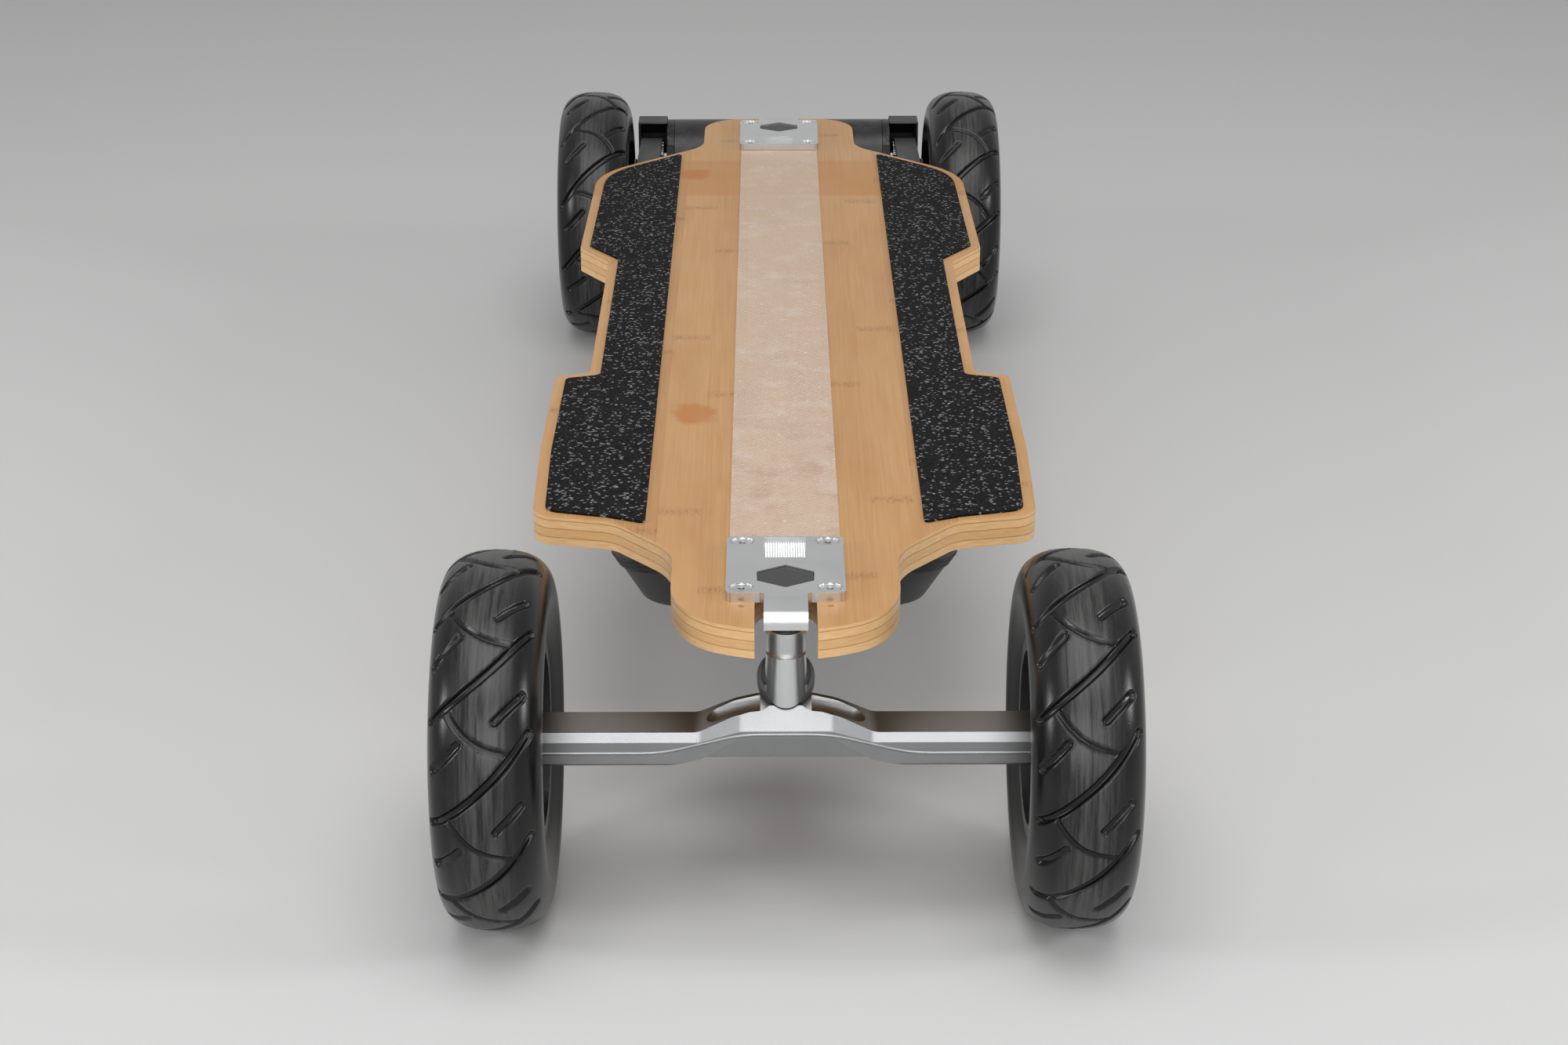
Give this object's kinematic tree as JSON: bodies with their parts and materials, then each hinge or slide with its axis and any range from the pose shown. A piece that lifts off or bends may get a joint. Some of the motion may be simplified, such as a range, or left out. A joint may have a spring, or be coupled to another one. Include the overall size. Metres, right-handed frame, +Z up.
{
  "type": "electric mountainboard",
  "caption": "Electric mountainboard: slotted bamboo deck with grip panels, sprung double-pivot trucks, air tyres, belt drive at the rear and a battery box underneath.",
  "frame": {"origin": "on the ground under the middle of the board, halfway between the axles", "axes": "+Z up, -Y towards the nose (front), +Y towards the tail and the motors, X across the board"},
  "size_m": [0.32, 1.0405, 0.178],
  "materials": {
    "bamboo": "clear satin lacquer",
    "grip": "coarse sparkling grit",
    "clear_strip": "translucent woven clear grip",
    "cast_aluminium": "fine bead-blasted",
    "satin_aluminium": "satin machined",
    "black_aluminium": "black anodised",
    "badge": "fine texture",
    "bolt_steel": "zinc plated",
    "black_steel": "black oxide",
    "kingpin_steel": "zinc plated",
    "urethane": "smooth",
    "grey_urethane": "smooth",
    "tyre_rubber": "moulded, semi-gloss",
    "tube_rubber": "smooth",
    "rim": "satin black",
    "bearing_steel": "polished rings, dark seals",
    "pulley": "black anodised",
    "motor_can": "satin black",
    "rotor_steel": "machined",
    "belt": "grey-black toothed belt",
    "cover_plastic": "fine grain",
    "box_plastic": "moulded grain",
    "cell_wrap": "heat-shrink wrap",
    "controller": "ribbed heat sink",
    "bezel": "machined",
    "button": "satin",
    "socket": "nickel plated"
  },
  "bodies": {
    "deck": {"deck": "bamboo", "grip_panels": "grip", "centre_strip": "clear_strip", "front_baseplate": "satin_aluminium", "rear_baseplate": "satin_aluminium", "plate_badges": "badge", "deck_bolts": "bolt_steel", "deck_nuts": "bolt_steel", "upper_kingpins": "kingpin_steel", "thrust_rings": "urethane", "battery_box": "box_plastic", "box_gasket": "urethane", "box_screws": "black_steel", "battery_pack": "cell_wrap", "motor_controller": "controller", "cable_glands": "cover_plastic", "button_bezel": "bezel", "charge_socket": "socket"},
    "power_button": {"power_button": "button"},
    "charge_cap": {"charge_cap": "urethane"},
    "front_link": {"front_link": "satin_aluminium", "front_pivot_sleeve": "grey_urethane", "front_lower_kingpin": "kingpin_steel", "front_kingpin_nut": "kingpin_steel"},
    "rear_link": {"rear_link": "satin_aluminium", "rear_pivot_sleeve": "grey_urethane", "rear_lower_kingpin": "kingpin_steel", "rear_kingpin_nut": "kingpin_steel"},
    "front_hanger": {"front_hanger": "cast_aluminium", "front_bushings": "grey_urethane", "front_axle": "kingpin_steel", "front_axle_nuts": "bolt_steel"},
    "rear_hanger": {"rear_hanger": "black_aluminium", "rear_bushings": "grey_urethane", "rear_axle": "kingpin_steel", "rear_axle_nuts": "bolt_steel", "motor_mounts": "black_aluminium", "motors": "motor_can", "drive_belts": "belt", "belt_covers": "cover_plastic"},
    "front_left_wheel": {"front_left_tyre": "tyre_rubber", "front_left_tube": "tube_rubber", "front_left_rim": "rim", "front_left_bearings": "bearing_steel"},
    "front_right_wheel": {"front_right_tyre": "tyre_rubber", "front_right_tube": "tube_rubber", "front_right_rim": "rim", "front_right_bearings": "bearing_steel"},
    "rear_left_wheel": {"rear_left_tyre": "tyre_rubber", "rear_left_tube": "tube_rubber", "rear_left_rim": "rim", "rear_left_bearings": "bearing_steel", "left_wheel_pulley": "pulley"},
    "rear_right_wheel": {"rear_right_tyre": "tyre_rubber", "rear_right_tube": "tube_rubber", "rear_right_rim": "rim", "rear_right_bearings": "bearing_steel", "right_wheel_pulley": "pulley"},
    "left_rotor": {"left_rotor": "rotor_steel"},
    "right_rotor": {"right_rotor": "rotor_steel"}
  },
  "joints": [
    {"name": "front_upper_pivot", "type": "hinge", "parent": "deck", "child": "front_link", "pos_m": [0, -0.425, 0.149], "axis": [0, -0.2588, 0.9659], "range_deg": [-5, 5], "stiffness_Nm_per_rad": 90},
    {"name": "front_lower_pivot", "type": "hinge", "parent": "front_link", "child": "front_hanger", "pos_m": [0, -0.42, 0.12], "axis": [0, -0.6428, 0.766], "range_deg": [-8, 8], "stiffness_Nm_per_rad": 90},
    {"name": "rear_upper_pivot", "type": "hinge", "parent": "deck", "child": "rear_link", "pos_m": [0, 0.425, 0.149], "axis": [0, 0.2588, 0.9659], "range_deg": [-5, 5], "stiffness_Nm_per_rad": 90},
    {"name": "rear_lower_pivot", "type": "hinge", "parent": "rear_link", "child": "rear_hanger", "pos_m": [0, 0.42, 0.12], "axis": [0, 0.6428, 0.766], "range_deg": [-8, 8], "stiffness_Nm_per_rad": 90},
    {"name": "front_left_spin", "type": "hinge", "parent": "front_hanger", "child": "front_left_wheel", "pos_m": [-0.1345, -0.425, 0.089], "axis": [1, 0, 0], "continuous": true},
    {"name": "front_right_spin", "type": "hinge", "parent": "front_hanger", "child": "front_right_wheel", "pos_m": [0.1345, -0.425, 0.089], "axis": [1, 0, 0], "continuous": true},
    {"name": "rear_left_spin", "type": "hinge", "parent": "rear_hanger", "child": "rear_left_wheel", "pos_m": [-0.1345, 0.425, 0.089], "axis": [1, 0, 0], "continuous": true},
    {"name": "rear_right_spin", "type": "hinge", "parent": "rear_hanger", "child": "rear_right_wheel", "pos_m": [0.1345, 0.425, 0.089], "axis": [1, 0, 0], "continuous": true},
    {"name": "left_rotor_spin", "type": "hinge", "parent": "rear_hanger", "child": "left_rotor", "pos_m": [-0.1345, 0.498, 0.112], "axis": [1, 0, 0], "continuous": true},
    {"name": "right_rotor_spin", "type": "hinge", "parent": "rear_hanger", "child": "right_rotor", "pos_m": [0.1345, 0.498, 0.112], "axis": [1, 0, 0], "continuous": true},
    {"name": "button_press", "type": "slide", "parent": "deck", "child": "power_button", "axis": [-0.9712, 0, 0.2382], "range_m": [0, 0.0015], "stiffness_N_per_m": 800},
    {"name": "cap_hinge", "type": "hinge", "parent": "deck", "child": "charge_cap", "pos_m": [0.08943, 0.175, 0.1297], "axis": [0, -1, 0], "range_deg": [0, 95]}
  ],
  "couplings": [
    {"joint": "left_rotor_spin", "follows": "rear_left_spin", "ratio": 3.4286},
    {"joint": "right_rotor_spin", "follows": "rear_right_spin", "ratio": 3.4286}
  ]
}
